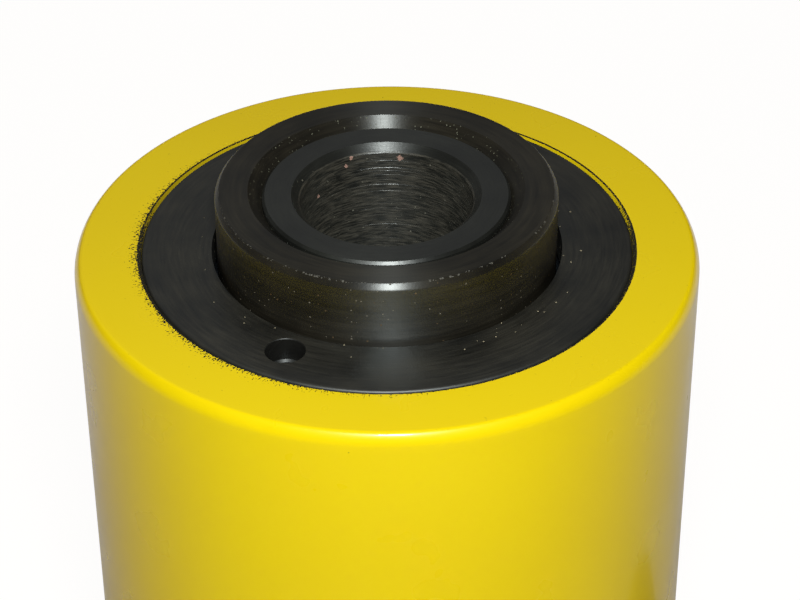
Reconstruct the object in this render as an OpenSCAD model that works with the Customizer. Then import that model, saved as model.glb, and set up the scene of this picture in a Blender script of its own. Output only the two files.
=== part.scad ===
// Hollow plunger cylinder: single acting, spring return, with its oil coupler.
// Millimetres. The base stands on z = 0, the centre hole runs along Z, the oil port points along +X.

/* [Body] */
// Outside diameter of the cylinder body
body_d = 114; // [110:1:124]
// Diameter of the pressure bore
bore_d = 88; // [86:1:92]
// Thickness of the solid base
base_h = 34; // [33:1:44]
// Radius of the rounded top edge
top_round = 1.2; // [0.6:0.1:4]
// Bevel round the bottom edge
base_bevel = 1.5; // [0.5:0.1:3]

/* [Plunger and piston] */
// Outside diameter of the hollow plunger
plunger_d = 62; // [58:1:64]
// How far the plunger travels
stroke = 50; // [25:5:100]
// How far the retracted plunger stands above the body
plunger_proud = 12.1; // [8:0.1:20]
// Width of the bevel on the plunger's outer top edge
plunger_bevel = 0.7; // [0.4:0.1:1.6]
// Height of that bevel
plunger_bevel_h = 1.4; // [0.6:0.1:2]
// Bevel in the plunger's mouth
mouth_bevel = 2.5; // [1.5:0.05:3]
// Height of the foot that the piston rests on
foot_h = 2; // [1.5:0.1:4]
// Height of the piston's two U-cup seals
seal_h = 5; // [4:0.25:8]
// Height of the backup ring behind each seal
backup_h = 2; // [1.5:0.25:3]
// Height of the piston's two guide rings
guide_h = 5; // [4:0.25:8]
// Thickness of every guide ring
guide_w = 2.4; // [1.5:0.1:2.6]
// Metal left between two grooves
land_h = 2.5; // [2:0.25:4]

/* [Centre hole] */
// Diameter of the clear hole through the centre
centre_d = 33; // [30:1:34]
// Wall of the centre tube
tube_wall = 5.5; // [4:0.1:5.6]
// Height of the shoulder that the centre tube stands on
tube_seat_h = 12; // [8:1:14]
// Section of the O-ring between tube and base
o_ring_w = 3; // [2.5:0.1:3.5]

/* [Hollow saddle] */
// Length of the saddle
saddle_h = 25; // [20:1:32]
// How far the saddle's face lies below the plunger's
saddle_recess = 1.15; // [0.5:0.05:1.4]
// Diameter of the saddle's bore
saddle_bore_d = 31.4; // [26:0.2:32]
// Bevel in the saddle's mouth
saddle_mouth_bevel = 1.5; // [0.8:0.1:2]

/* [Gland ring] */
// How far the ring's face lies below the top of the body
gland_drop = 0.1; // [0:0.05:0.5]
// Depth of the open mouth round the plunger
gland_mouth_h = 6.2; // [5.6:0.1:8]
// Gap between plunger and gland ring at the mouth
gland_mouth_gap = 1; // [0.5:0.1:1.2]
// Height of the wiper
wiper_h = 5; // [4:0.25:7]
// Section of the wiper's groove, measured from the plunger
wiper_w = 2.8; // [2.4:0.1:3.2]
// Height of the gland ring's guide ring
gland_guide_h = 5.5; // [4:0.25:8]
// Diameter of the spanner holes
spanner_d = 7; // [5:0.1:7.4]
// Depth of the spanner holes
spanner_depth = 4.8; // [3:0.1:5.4]
// Bevel round the spanner holes
spanner_bevel = 0.15; // [0.1:0.05:0.5]
// Metal left between the spanner holes and the mouth round the plunger
spanner_wall = 1.7; // [1:0.1:4]
// Direction of the first spanner hole
spanner_angle = 241.5; // [0:0.5:360]

/* [Return spring] */
// Wire of the return spring
spring_wire = 6; // [4:0.25:7]
// Turns of the return spring, with its closed ends
spring_turns = 4; // [3.5:0.25:6]
// Room left above the solid spring at full stroke
spring_spare = 2; // [1:0.5:10]
// Thickness of the two spring seats
spring_seat_h = 1.5; // [1:0.25:3]

/* [Base mounting] */
// Circle that the base's tapped holes lie on
bolt_circle_d = 92; // [84:1:94]
// Tapping diameter of the base holes
bolt_tap_d = 8.5; // [6.8:0.1:10.2]
// Depth of the base holes
bolt_depth = 20; // [12:1:22]

/* [Oil port and coupler] */
// Height of the port above the floor
port_h = 24; // [22:0.5:24.5]
// Diameter of the port's thread
port_d = 16.4; // [15:0.1:16.8]
// Depth of the port's thread
port_depth = 13; // [10:0.5:14]
// Width across the flats of the nipple's hexagon
hex_w = 27; // [24:1:30]
// Length of the nipple's hexagon
hex_l = 16; // [10:1:20]
// Diameter of the coupler's threaded barrel
barrel_d = 28; // [26:0.5:30]
// Bore of the coupler's socket
socket_d = 19; // [17:0.5:20]
// Depth of the coupler's socket
socket_l = 25; // [20:1:32]
// Lift of the coupler's valve
poppet_lift = 2.5; // [1:0.25:3]
// Turns of the coupler's spring
coupler_turns = 6; // [4:0.5:7]
// Wall of the dust cap
cap_wall = 2.7; // [2:0.1:3.5]
// Grip ribs round the dust cap
cap_ribs = 20; // [8:1:24]

/* [Fits] */
// Radial clearance of everything that slides on metal
running_gap = 0.05; // [0.02:0.01:0.1]
// Radial clearance of screwed joints
thread_gap = 0.1; // [0.05:0.01:0.2]
// Radial gap between sliding metal parts that never touch
metal_gap = 0.3; // [0.2:0.05:0.5]
// Radial gap between plunger and centre tube
tube_gap = 0.5; // [0.3:0.05:0.8]

/* [Hidden] */
$fn = 96;
body_r = body_d / 2;
bore_r = bore_d / 2;
plunger_r = plunger_d / 2;
centre_r = centre_d / 2;

// Piston stack, from the floor up
piston_z = base_h + foot_h;
piston_lip = 3;
seal_z = piston_z + piston_lip;
backup_z = seal_z + seal_h;
guide_z = backup_z + backup_h + land_h;
piston_top_z = guide_z + guide_h + land_h;
piston_r = bore_r - metal_gap;
foot_lip = 2;
foot_r = plunger_r + foot_lip;
seal_w = 6.2;
inner_seal_w = 5;
root_round = 2;
piston_bevel = 1;

// Return spring above the piston, and the gland ring above that
spring_z = piston_top_z + spring_seat_h;
spring_h = spring_turns * spring_wire + spring_spare + stroke;
spring_top_z = spring_z + spring_h;
spring_r = (plunger_r + bore_r) / 2;
spring_seat_lip = 1.2;
spring_seat_r = spring_r + spring_wire / 2 + spring_seat_lip;
gland_z = spring_top_z + spring_seat_h;
gland_guide_z = gland_z + land_h;
wiper_z = gland_guide_z + gland_guide_h + land_h;
gland_mouth_z = wiper_z + wiper_h;
gland_top_z = gland_mouth_z + gland_mouth_h;
body_h = gland_top_z + gland_drop;
gland_step = 0.8;
gland_seat_r = bore_r + gland_step;
gland_r = gland_seat_r - thread_gap;
gland_bevel = 0.5;
gland_lead = 1;
seat_bevel = 0.6;
relief_h = 2.5;
relief_w = 0.5;
wiper_r = plunger_r + wiper_w;
gland_bore_r = plunger_r + metal_gap;
spanner_r = spanner_d / 2;
spanner_circle_r = plunger_r + gland_mouth_gap + spanner_wall + spanner_r;
drill_point = 118;

// Centre tube, plunger bore and saddle
tube_r = centre_r + tube_wall;
tube_seat_r = tube_r + running_gap;
plunger_bore_r = tube_r + tube_gap;
plunger_top_z = body_h + plunger_proud;
saddle_top_z = plunger_top_z - saddle_recess;
saddle_z = saddle_top_z - saddle_h;
saddle_r = plunger_bore_r - running_gap;
saddle_bore_r = saddle_bore_d / 2;
saddle_bevel = 0.45;
tube_end_gap = 3;
tube_top_z = saddle_z - tube_end_gap;
tube_bevel = 0.8;
o_ring_gap = 0.05;
tube_groove_lift = 6;
tube_groove_z = tube_seat_h + tube_groove_lift;
tube_groove_spare = 1;
tube_groove_h = backup_h + o_ring_w + tube_groove_spare;
tube_groove_r = tube_r + o_ring_w + 2 * o_ring_gap;

// Oil port, with distances along +X from the centre line
port_r = port_d / 2;
spot_r = 17;
spot_depth = 0.4;
spot_x = sqrt(body_r * body_r - spot_r * spot_r) - spot_depth;
port_end_x = spot_x - port_depth;
passage_r = 2.5;
passage_run = 3;
passage_wall = 1;
passage_x = min(port_end_x - passage_run, bore_r - passage_r - passage_wall);

// Coupler, with distances along +X from the centre line
washer_h = 2;
washer_r = 12.4;
nipple_gap = 1;
hex_face = 0.97;
hex_bevel = 1.8;
hex_x = spot_x + washer_h;
hex_end_x = hex_x + hex_l;
spigot_l = 8;
spigot_r = 9;
poppet_h = 2;
poppet_face_gap = 0.6;
chamber_spare = 0.9;
chamber_l = poppet_h + poppet_face_gap + poppet_lift + chamber_spare;
chamber_r = spigot_r + thread_gap;
seat_wall = 3;
seat_hole_r = 5.5;
spigot_end_x = hex_end_x + spigot_l;
seat_x = spigot_end_x + chamber_l;
socket_x = seat_x + seat_wall;
sleeve_end_x = socket_x + socket_l;
barrel_r = barrel_d / 2;
collar_w = 1.5;
sleeve_r = barrel_r + collar_w;
sleeve_bevel = 1;
flats_step = 1;
flats_w = barrel_d - flats_step;
flats_l = 9;
barrel_bevel = 1.2;
socket_r = socket_d / 2;
socket_ring_w = 1.8;
socket_groove_x = socket_x + socket_l * 0.4;
socket_groove_w = 2.4;
socket_groove_r = socket_r + socket_ring_w + 2 * o_ring_gap;
socket_bevel = 1;
nipple_bore_r = 5.4;
pocket_r = 6.5;
pocket_x = hex_x + hex_l / 2;
spring_guide_h = 4;
guide_hole_r = 0.9;
guide_hole_circle_r = 4.4;

// Coupler valve
poppet_r = 7.8;
poppet_seal_in_r = 5.7;
poppet_seal_out_r = 7.3;
poppet_face_x = seat_x - poppet_face_gap;
poppet_seal_depth = 1;
poppet_seal_gap = 0.02;
poppet_seal_x = poppet_face_x - poppet_seal_depth;
poppet_seal_h = seat_x - poppet_seal_gap - poppet_seal_x;
poppet_x = poppet_face_x - poppet_h;
poppet_nose_r = 4.4;
nose_drop = 0.3;
nose_bevel = 0.6;
stem_r = 2.5;
stem_gap = 1.5;
stem_x = pocket_x + stem_gap;
coupler_spring_x = pocket_x + spring_guide_h;
coupler_spring_h = poppet_x - coupler_spring_x;
coupler_spring_r = 4.5;
coupler_wire = 1.2;

// Dust cap
cap_in_r = barrel_r + metal_gap + running_gap;
cap_r = cap_in_r + cap_wall;
cap_grip = socket_l;
liner_h = 1.5;
liner_gap = 0.4;
liner_x = sleeve_end_x + liner_gap;
cap_floor_x = liner_x + liner_h;
cap_floor_h = 4;
cap_end_x = cap_floor_x + cap_floor_h;
cap_round = 2.5;
rib_r = 1;
rib_sink = 0.2;
rib_start = 2;
rib_stop = 1;
rib_l = cap_grip - rib_start - rib_stop;

// Flat section of a ring between two radii and two heights
module band(r0, r1, z0, z1) {
    translate([r0, z0]) square([r1 - r0, z1 - z0]);
}

// What a rounding takes off an outside corner that points up and outwards
module corner_round(r, z, size) {
    translate([r - size, z - size]) difference() {
        square(size + 1);
        circle(size);
    }
}

// What a bevel takes off a corner: its two legs and the corner itself, carried past the surface
module corner_bevel(r, z, leg_r, leg_z) {
    polygon([[r - leg_r, z], [r, z], [r, z - leg_z]]);
}

// What a bevel takes out of the mouth of a hole that opens upwards at height z
module mouth_taper(r, z, size) {
    polygon([[0, z - size], [r, z - size], [r + size + 1, z + 1], [0, z + 1]]);
}

// Plain ring
module ring(r0, r1, z0, h) {
    rotate_extrude() band(r0, r1, z0, z0 + h);
}

// Guide strip bent round into a ring, with its slanted cut
module split_ring(r0, r1, z0, h) {
    cut = 1.2;
    difference() {
        ring(r0, r1, z0, h);
        translate([(r0 + r1) / 2, 0, z0 + h / 2]) rotate([30, 0, 0])
            cube([2 * (r1 - r0), cut, 3 * h], center = true);
    }
}

// U-cup seal with its lips pointing down at the pressure
module u_cup(r0, r1, z0, h) {
    lip = (r1 - r0) * 0.2;
    middle = (r0 + r1) / 2;
    rotate_extrude() polygon([
        [r0, z0 + h], [r1, z0 + h], [r1, z0 + lip], [r1 - lip, z0],
        [middle, z0 + h * 0.55], [r0 + lip, z0], [r0, z0 + lip]
    ]);
}

// Blind drilled hole that opens upwards at z = 0, with the drill's point at its bottom
module drilled_hole(r, depth) {
    point = r / tan(drill_point / 2);
    rotate_extrude() polygon([[0, 1], [r, 1], [r, -depth], [0, -depth - point]]);
}

// Coil spring with closed ground ends, swept along its helix
module coil(mean_r, wire, z0, h, turns, sides, steps) {
    wire_r = wire / 2;
    closed = 0.8;
    end_lift = wire_r * 0.4;
    rise = h - 2 * end_lift;
    end_rise = closed * wire * 1.06;
    pitch = (rise - 2 * end_rise) / (turns - 2 * closed);
    count = ceil(turns * steps);
    function height(t) =
        t < closed ? t * wire * 1.06 :
        t > turns - closed ? rise - (turns - t) * wire * 1.06 :
        end_rise + (t - closed) * pitch;
    function clamp(z) = min(max(z, z0), z0 + h);
    points = [
        for (i = [0 : count], j = [0 : sides - 1])
            let (t = turns * i / count, a = 360 * t, b = 360 * (j + 0.5) / sides)
            let (r = mean_r + wire_r * cos(b))
            [r * cos(a), r * sin(a), clamp(z0 + end_lift + height(t) + wire_r * sin(b))]
    ];
    walls = [
        for (i = [0 : count - 1], j = [0 : sides - 1], half = [0, 1])
            let (p = i * sides, q = p + sides, k = (j + 1) % sides)
            half == 0 ? [p + j, p + k, q + j] : [p + k, q + k, q + j]
    ];
    start = [for (j = [sides - 1 : -1 : 0]) j];
    finish = [for (j = [0 : sides - 1]) count * sides + j];
    polyhedron(points, concat([start], walls, [finish]), convexity = 10);
}

// Turns a piece drawn along Z so that it lies along the oil port
module along_port() {
    translate([0, 0, port_h]) rotate([0, 90, 0]) children();
}

// Places a piece at each of two opposite points of a circle
module opposite(radius, angle) {
    for (a = [angle, angle + 180]) rotate(a) translate([radius, 0, 0]) children();
}

module cylinder_body() {
    color("gold") difference() {
        rotate_extrude() difference() {
            band(0, body_r, 0, body_h);
            corner_round(body_r, body_h, top_round);
            mirror([0, 1]) corner_bevel(body_r, 0, base_bevel, base_bevel);
            band(-1, centre_r, -1, tube_seat_h + 1);
            mirror([0, 1]) mouth_taper(centre_r, 0, base_bevel);
            band(-1, tube_seat_r, tube_seat_h, base_h + 1);
            band(0, tube_groove_r, tube_groove_z, tube_groove_z + tube_groove_h);
            band(-1, bore_r, base_h, body_h + 1);
            band(-1, gland_seat_r, gland_z, body_h + 1);
            band(-1, gland_seat_r + relief_w, gland_z, gland_z + relief_h);
            mouth_taper(gland_seat_r, body_h, seat_bevel);
        }
        opposite(bolt_circle_d / 2, 90) rotate([180, 0, 0]) drilled_hole(bolt_tap_d / 2, bolt_depth);
        along_port() {
            translate([0, 0, spot_x]) cylinder(r = spot_r, h = body_r);
            translate([0, 0, port_end_x]) cylinder(r = port_r, h = body_r);
            translate([0, 0, passage_x]) cylinder(r = passage_r, h = port_end_x - passage_x + 1);
        }
        translate([passage_x, 0, port_h]) cylinder(r = passage_r, h = base_h - port_h + 1);
        translate([passage_x, 0, port_h]) sphere(r = passage_r);
    }
}

module gland_ring() {
    color("dimgray") difference() {
        rotate_extrude() difference() {
            band(gland_bore_r, gland_r, gland_z, gland_top_z);
            corner_bevel(gland_r, gland_top_z, gland_bevel, gland_bevel);
            translate([0, gland_z]) mirror([0, 1]) corner_bevel(gland_r, 0, gland_lead, gland_lead);
            band(0, plunger_r + guide_w, gland_guide_z, gland_guide_z + gland_guide_h);
            band(0, wiper_r, wiper_z, wiper_z + wiper_h);
            band(0, plunger_r + gland_mouth_gap, gland_mouth_z, gland_top_z + 1);
        }
        opposite(spanner_circle_r, spanner_angle) translate([0, 0, gland_top_z]) {
            translate([0, 0, -spanner_depth]) cylinder(r = spanner_r, h = spanner_depth + 1);
            rotate_extrude() mouth_taper(spanner_r, 0, spanner_bevel);
        }
    }
}

module plunger_wiper() {
    tip_r = plunger_r + running_gap;
    heel_r = plunger_r + gland_mouth_gap;
    back_r = wiper_r - running_gap;
    color("darkgreen") rotate_extrude() polygon([
        [heel_r, wiper_z], [back_r, wiper_z], [back_r, wiper_z + wiper_h], [heel_r + 0.9, wiper_z + wiper_h],
        [heel_r + 0.6, wiper_z + wiper_h * 0.55], [tip_r + 0.2, wiper_z + wiper_h * 0.96],
        [tip_r, wiper_z + wiper_h * 0.9], [heel_r - 0.2, wiper_z + wiper_h * 0.4]
    ]);
}

module gland_guide_ring() {
    color("tan")
        split_ring(plunger_r + running_gap, plunger_r + guide_w - running_gap, gland_guide_z, gland_guide_h);
}

module centre_tube() {
    color("silver") rotate_extrude() difference() {
        band(centre_r, tube_r, tube_seat_h, tube_top_z);
        corner_bevel(tube_r, tube_top_z, tube_bevel, tube_bevel);
        translate([0, tube_seat_h]) mirror([0, 1]) corner_bevel(tube_r, 0, tube_bevel, tube_bevel);
    }
}

module tube_o_ring() {
    color("black") translate([0, 0, tube_groove_z + backup_h + (tube_groove_spare + o_ring_w) / 2])
        rotate_extrude() translate([tube_r + o_ring_gap + o_ring_w / 2, 0]) circle(o_ring_w / 2);
}

module tube_backup_ring() {
    color("ivory") ring(tube_r + o_ring_gap, tube_groove_r - o_ring_gap, tube_groove_z, backup_h);
}

module upper_spring_seat() {
    color("gray") ring(plunger_r + gland_mouth_gap, spring_seat_r, spring_top_z, spring_seat_h);
}

module return_spring() {
    color("slategray") coil(spring_r, spring_wire, spring_z, spring_h, spring_turns, 12, 32);
}

module lower_spring_seat() {
    color("gray") ring(plunger_r + root_round, spring_seat_r, piston_top_z, spring_seat_h);
}

module plunger() {
    color("dimgray") rotate_extrude() difference() {
        union() {
            band(plunger_bore_r, foot_r, base_h, piston_top_z);
            band(plunger_bore_r, piston_r, piston_z, piston_top_z);
            band(plunger_bore_r, plunger_r, base_h, plunger_top_z);
            difference() {
                band(plunger_bore_r, plunger_r + root_round, piston_z, piston_top_z + root_round);
                translate([plunger_r + root_round, piston_top_z + root_round]) circle(root_round);
            }
        }
        corner_bevel(plunger_r, plunger_top_z, plunger_bevel, plunger_bevel_h);
        mouth_taper(plunger_bore_r, plunger_top_z, mouth_bevel);
        corner_bevel(piston_r, piston_top_z, piston_bevel, piston_bevel);
        translate([0, piston_z]) mirror([0, 1]) corner_bevel(piston_r, 0, piston_bevel, piston_bevel);
        band(bore_r - seal_w, body_r, seal_z, backup_z + backup_h);
        band(bore_r - guide_w, body_r, guide_z, guide_z + guide_h);
        band(0, tube_r + inner_seal_w, seal_z, backup_z + backup_h);
        band(0, tube_r + guide_w, guide_z, guide_z + guide_h);
    }
}

module hollow_saddle() {
    color("dimgray") rotate_extrude() difference() {
        band(saddle_bore_r, saddle_r, saddle_z, saddle_top_z);
        corner_bevel(saddle_r, saddle_top_z, saddle_bevel, saddle_bevel);
        mouth_taper(saddle_bore_r, saddle_top_z, saddle_mouth_bevel);
    }
}

module piston_seal() {
    color("royalblue") u_cup(bore_r - seal_w + running_gap, bore_r - running_gap, seal_z, seal_h);
}

module piston_backup_ring() {
    color("ivory") ring(bore_r - seal_w + running_gap, bore_r - running_gap, backup_z, backup_h);
}

module piston_guide_ring() {
    color("tan") split_ring(bore_r - guide_w + running_gap, bore_r - running_gap, guide_z, guide_h);
}

module bore_seal() {
    color("royalblue") u_cup(tube_r + running_gap, tube_r + inner_seal_w - running_gap, seal_z, seal_h);
}

module bore_backup_ring() {
    color("ivory") ring(tube_r + running_gap, tube_r + inner_seal_w - running_gap, backup_z, backup_h);
}

module bore_guide_ring() {
    color("tan") split_ring(tube_r + running_gap, tube_r + guide_w - running_gap, guide_z, guide_h);
}

module port_washer() {
    color("peru") along_port() ring(port_r, washer_r, spot_x, washer_h);
}

module port_nipple() {
    color("lightgray") along_port() difference() {
        union() {
            ring(0, port_r - thread_gap, port_end_x + nipple_gap, hex_x - port_end_x);
            ring(0, spigot_r, hex_x, spigot_end_x - hex_x);
            intersection() {
                translate([0, 0, hex_x]) cylinder(d = hex_w / cos(30), h = hex_l, $fn = 6);
                rotate_extrude() polygon([
                    [0, hex_x], [hex_face * hex_w / 2, hex_x], [hex_w * 0.6, hex_x + hex_bevel],
                    [hex_w * 0.6, hex_end_x], [0, hex_end_x]
                ]);
            }
        }
        ring(0, nipple_bore_r, port_end_x - 1, pocket_x - port_end_x + 2);
        ring(0, pocket_r, pocket_x, spigot_end_x - pocket_x + 1);
    }
}

module coupler_sleeve() {
    color("lightgray") along_port() difference() {
        rotate_extrude() difference() {
            union() {
                band(seat_hole_r, sleeve_r, hex_end_x, seat_x);
                band(seat_hole_r, barrel_r, hex_end_x, sleeve_end_x);
            }
            corner_bevel(sleeve_r, seat_x, sleeve_bevel, sleeve_bevel);
            corner_bevel(barrel_r, sleeve_end_x, barrel_bevel, barrel_bevel);
            band(0, chamber_r, hex_end_x - 1, seat_x);
            band(0, socket_r, socket_x, sleeve_end_x + 1);
            band(0, socket_groove_r, socket_groove_x, socket_groove_x + socket_groove_w);
            mouth_taper(socket_r, sleeve_end_x, socket_bevel);
        }
        for (side = [-1, 1])
            translate([side * (flats_w / 2 + sleeve_r), 0, hex_end_x + flats_l / 2 - 1])
                cube([2 * sleeve_r, 3 * sleeve_r, flats_l + 2], center = true);
    }
}

module socket_seal() {
    color("black") along_port() translate([0, 0, socket_groove_x + socket_groove_w / 2])
        rotate_extrude() translate([socket_r + o_ring_gap + socket_ring_w / 2, 0]) circle(socket_ring_w / 2);
}

module spring_guide() {
    color("lightgray") along_port() difference() {
        ring(stem_r + running_gap, pocket_r - running_gap, pocket_x, spring_guide_h);
        for (a = [0 : 60 : 300]) rotate(a) translate([guide_hole_circle_r, 0, pocket_x - 1])
            cylinder(r = guide_hole_r, h = spring_guide_h + 2);
    }
}

module coupler_spring() {
    color("slategray") along_port()
        coil(coupler_spring_r, coupler_wire, coupler_spring_x, coupler_spring_h, coupler_turns, 8, 24);
}

module poppet() {
    color("lightgray") along_port() rotate_extrude() difference() {
        union() {
            band(0, stem_r, stem_x, poppet_face_x);
            band(0, poppet_r, poppet_x, poppet_face_x);
            band(0, poppet_nose_r, poppet_x, socket_x - nose_drop);
        }
        band(poppet_seal_in_r, poppet_seal_out_r, poppet_seal_x, poppet_face_x + 1);
        corner_bevel(poppet_nose_r, socket_x - nose_drop, nose_bevel, nose_bevel);
    }
}

module poppet_seal() {
    color("black") along_port()
        ring(poppet_seal_in_r + o_ring_gap, poppet_seal_out_r - o_ring_gap, poppet_seal_x, poppet_seal_h);
}

module dust_cap() {
    color("black") along_port() {
        rotate_extrude() difference() {
            band(0, cap_r, sleeve_end_x - cap_grip, cap_end_x);
            corner_round(cap_r, cap_end_x, cap_round);
            band(-1, cap_in_r, sleeve_end_x - cap_grip - 1, cap_floor_x);
        }
        for (i = [0 : cap_ribs - 1]) rotate(i * 360 / cap_ribs)
            translate([cap_r - rib_sink, 0, sleeve_end_x - cap_grip + rib_start])
                cylinder(r = rib_r, h = rib_l);
    }
}

module cap_liner() {
    color("firebrick") along_port() ring(0, cap_in_r - running_gap, liner_x, liner_h);
}

cylinder_body();
gland_ring();
plunger_wiper();
gland_guide_ring();
centre_tube();
tube_o_ring();
tube_backup_ring();
upper_spring_seat();
return_spring();
port_washer();
port_nipple();
coupler_sleeve();
socket_seal();
coupler_spring();
spring_guide();
plunger();
hollow_saddle();
piston_seal();
piston_backup_ring();
piston_guide_ring();
bore_seal();
bore_backup_ring();
bore_guide_ring();
lower_spring_seat();
poppet();
poppet_seal();
dust_cap();
cap_liner();
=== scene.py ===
# Looks of a hollow plunger cylinder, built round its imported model.
# Metres, +Z up, the base on z = 0 and the oil port along +X.
import math
import random

import bmesh
import bpy
from mathutils import Matrix, Vector


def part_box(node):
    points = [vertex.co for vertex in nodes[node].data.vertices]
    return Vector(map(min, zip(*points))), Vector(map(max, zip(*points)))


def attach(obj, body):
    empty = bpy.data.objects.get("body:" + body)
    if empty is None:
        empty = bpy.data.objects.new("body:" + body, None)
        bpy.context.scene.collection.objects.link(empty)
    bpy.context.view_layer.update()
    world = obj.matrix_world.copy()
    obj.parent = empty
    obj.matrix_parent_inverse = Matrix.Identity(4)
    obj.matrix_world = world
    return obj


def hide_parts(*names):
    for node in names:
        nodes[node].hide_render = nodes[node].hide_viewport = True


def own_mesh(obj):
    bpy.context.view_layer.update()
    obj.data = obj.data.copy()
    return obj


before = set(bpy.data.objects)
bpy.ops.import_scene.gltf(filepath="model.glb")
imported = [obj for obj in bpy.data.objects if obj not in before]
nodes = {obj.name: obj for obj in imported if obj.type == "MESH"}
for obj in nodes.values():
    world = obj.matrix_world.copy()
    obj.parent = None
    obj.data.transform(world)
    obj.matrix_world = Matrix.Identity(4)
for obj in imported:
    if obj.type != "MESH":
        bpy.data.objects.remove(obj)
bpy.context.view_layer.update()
mm = 0.001
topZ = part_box("cylinder_body")[1].z  # top face of the body and of the gland ring
portZ = sum(corner.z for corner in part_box("port_washer")) / 2
print("frame:", len(nodes), "nodes, body top at", round(topZ / mm, 1), "mm")


def toLinear(hexColour):
    parts = [int(hexColour[i:i + 2], 16) / 255 for i in (1, 3, 5)]
    return [c / 12.92 if c <= 0.04045 else ((c + 0.055) / 1.055) ** 2.4 for c in parts] + [1]


plainWhite = toLinear("#ffffff")


# adds a node: inputs takes a number, a colour, a node (its first output) or an output socket for each socket
def addNode(tree, kind, inputs=None, **settings):
    node = tree.nodes.new(kind)
    for name, value in settings.items():
        setattr(node, name, value)
    for name, value in (inputs or {}).items():
        if isinstance(value, bpy.types.Node):
            value = value.outputs[0]
        if isinstance(value, bpy.types.NodeSocket):
            tree.links.new(value, node.inputs[name])
        else:
            node.inputs[name].default_value = value
    return node


# a number worked out by a node from one to three numbers or sockets
def calc(tree, operation, *values):
    return addNode(tree, "ShaderNodeMath", dict(enumerate(values)), operation=operation)


# camera: same place, lens and tilt as the picture was taken with
cameraSetup = dict(place=(0, -397.04 * mm, topZ + 269.25 * mm), lens=118.15, sensor=36, nearest=10 * mm,
                   pitch=35.3945, yaw=0.334, roll=-0.39)


def makeCamera(setup):
    camera = bpy.data.objects.new("camera", bpy.data.cameras.new("camera"))
    bpy.context.scene.collection.objects.link(camera)
    camera.data.lens = setup["lens"]
    camera.data.sensor_width = setup["sensor"]
    camera.data.clip_start = setup["nearest"]
    turn = Matrix.Rotation(math.radians(-setup["yaw"]), 4, "Z")
    turn @= Matrix.Rotation(math.radians(90 - setup["pitch"]), 4, "X")
    turn @= Matrix.Rotation(math.radians(setup["roll"]), 4, "Z")
    camera.matrix_world = Matrix.Translation(setup["place"]) @ turn
    bpy.context.scene.camera = camera


makeCamera(cameraSetup)

# lamps: a flash beside the lens, and wide soft ones far back that open up the sides and, low down, the back;
# places are from the top face
lamps = dict(
    key=dict(place=(0.012, -0.362, 0.325), size=(0.07, 0.06), watts=2.56, colour="#fffef8", shines=True),
    backLeft=dict(place=(-0.75, 0.7, 0.05), size=(0.7, 0.35), watts=1.2, colour="#ffd8a2", shines=False),
    backRight=dict(place=(0.75, 0.7, 0.05), size=(0.7, 0.35), watts=1.2, colour="#ffd8a2", shines=False),
    backLow=dict(place=(0, 0.95, -0.06), size=(0.9, 0.18), watts=3.0, colour="#fff3e0", shines=False),
)
lookAt = Vector((0, 0, topZ))


def makeLamp(name, setup):
    lamp = bpy.data.lights.new(name, "AREA")
    lamp.shape = "RECTANGLE"
    lamp.size, lamp.size_y = setup["size"]
    lamp.energy = setup["watts"]
    lamp.color = toLinear(setup["colour"])[:3]
    holder = bpy.data.objects.new(name, lamp)
    bpy.context.scene.collection.objects.link(holder)
    holder.location = lookAt + Vector(setup["place"])
    holder.rotation_euler = (lookAt - holder.location).to_track_quat("-Z", "Y").to_euler()
    holder.visible_glossy = setup["shines"]


for lampName, lampSetup in lamps.items():
    makeLamp("lamp_" + lampName, lampSetup)

# world: white to the camera, a warm fill to what is matt; what shines sees a dark room with one pale patch
# high up at the back
worldSetup = dict(fill="#ffc47e", fillStrength=0.1, room=0.025, patch=0.18, patchTilt=38, patchTurn=20,
                  patchSpread=(0.75, 0.99))


def makeWorld(setup):
    world = bpy.data.worlds.new("studio")
    bpy.context.scene.world = world
    world.use_nodes = True
    tree = world.node_tree
    tree.nodes.clear()
    rays = addNode(tree, "ShaderNodeLightPath").outputs
    tilt = math.radians(setup["patchTilt"])
    aside = math.radians(setup["patchTurn"])
    towards = (-math.sin(aside) * math.cos(tilt), math.cos(aside) * math.cos(tilt), math.sin(tilt))
    facing = addNode(tree, "ShaderNodeVectorMath", {
        0: addNode(tree, "ShaderNodeTexCoord"), 1: towards}, operation="DOT_PRODUCT").outputs["Value"]
    low, high = setup["patchSpread"]
    shine = addNode(tree, "ShaderNodeMapRange", {
        0: facing, 1: low, 2: high, 3: setup["room"], 4: setup["patch"]}, interpolation_type="SMOOTHSTEP")
    bright = calc(tree, "MAXIMUM", rays["Is Camera Ray"], shine)
    shiny = calc(tree, "MAXIMUM", rays["Is Glossy Ray"], rays["Is Transmission Ray"])
    seen = calc(tree, "MAXIMUM", rays["Is Camera Ray"], shiny)
    fill = addNode(tree, "ShaderNodeBackground", {0: toLinear(setup["fill"]), 1: setup["fillStrength"]})
    white = addNode(tree, "ShaderNodeBackground", {0: plainWhite, 1: bright})
    both = addNode(tree, "ShaderNodeMixShader", {0: seen, 1: fill, 2: white})
    addNode(tree, "ShaderNodeOutputWorld", {0: both})


makeWorld(worldSetup)

# floor: matt white board; the camera sees white, with the shadow left in near the object and none far off;
# what shines sees it dim in front and bright behind
floorSetup = dict(size=6.0, board="#cfccc5", glow=0.85, white=1.12, plainFrom=0.6, plainTo=2.4,
                  shineFront=0.05, shineBack=0.85, dimFrom=-0.15, dimTo=0.35,
                  nearTo=0.4, farFrom=1.1, farShare=0.4)


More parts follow.
